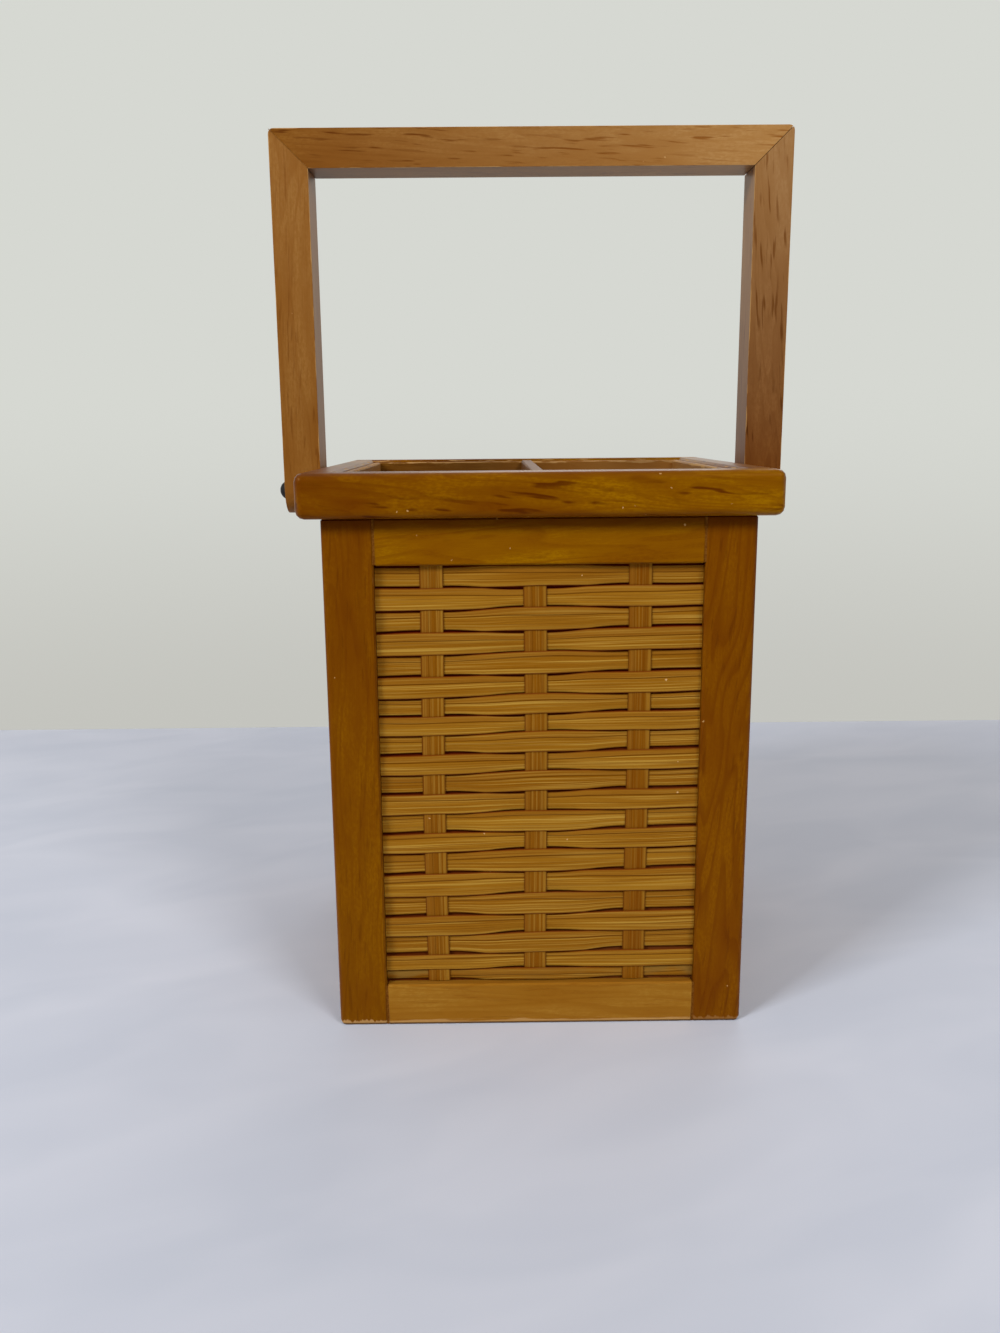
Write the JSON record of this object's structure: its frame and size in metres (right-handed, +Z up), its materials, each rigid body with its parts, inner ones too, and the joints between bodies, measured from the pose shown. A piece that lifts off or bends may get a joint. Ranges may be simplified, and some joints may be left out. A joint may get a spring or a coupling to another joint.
{
  "type": "utensil basket",
  "caption": "Square wooden utensil caddy with woven bamboo side panels, a rim band, a centre divider and a swinging bail handle.",
  "frame": {"origin": "centre of the base, on the surface that the basket stands on", "axes": "+Z is up, -Y is the front in the picture, and +X is to the right seen from the front, along the handle's pivot axis"},
  "size_m": [0.2036, 0.165, 0.3291],
  "materials": {
    "stained_hardwood": "satin lacquer over a honey brown stain",
    "inner_board": "dull brown stain",
    "woven_bamboo": "satin lacquered bamboo strips",
    "black_steel": "satin black"
  },
  "bodies": {
    "basket": {"front_left_stile": "stained_hardwood", "front_right_stile": "stained_hardwood", "front_top_rail": "stained_hardwood", "front_bottom_rail": "stained_hardwood", "front_rim_board": "stained_hardwood", "front_woven_mat": "woven_bamboo", "front_box_wall": "inner_board", "right_left_stile": "stained_hardwood", "right_right_stile": "stained_hardwood", "right_top_rail": "stained_hardwood", "right_bottom_rail": "stained_hardwood", "right_rim_board": "stained_hardwood", "right_woven_mat": "woven_bamboo", "right_box_wall": "inner_board", "back_left_stile": "stained_hardwood", "back_right_stile": "stained_hardwood", "back_top_rail": "stained_hardwood", "back_bottom_rail": "stained_hardwood", "back_rim_board": "stained_hardwood", "back_woven_mat": "woven_bamboo", "back_box_wall": "inner_board", "left_left_stile": "stained_hardwood", "left_right_stile": "stained_hardwood", "left_top_rail": "stained_hardwood", "left_bottom_rail": "stained_hardwood", "left_rim_board": "stained_hardwood", "left_woven_mat": "woven_bamboo", "left_box_wall": "inner_board", "bottom_board": "inner_board", "divider": "inner_board", "left_pivot_screw": "black_steel", "right_pivot_screw": "black_steel", "left_washer": "black_steel", "right_washer": "black_steel"},
    "handle": {"handle_left_leg": "stained_hardwood", "handle_right_leg": "stained_hardwood", "handle_bar": "stained_hardwood"}
  },
  "joints": [
    {"name": "handle_swing", "type": "hinge", "parent": "basket", "child": "handle", "pos_m": [0, 0, 0.1953], "axis": [1, 0, 0], "range_deg": [-136, 136]}
  ]
}
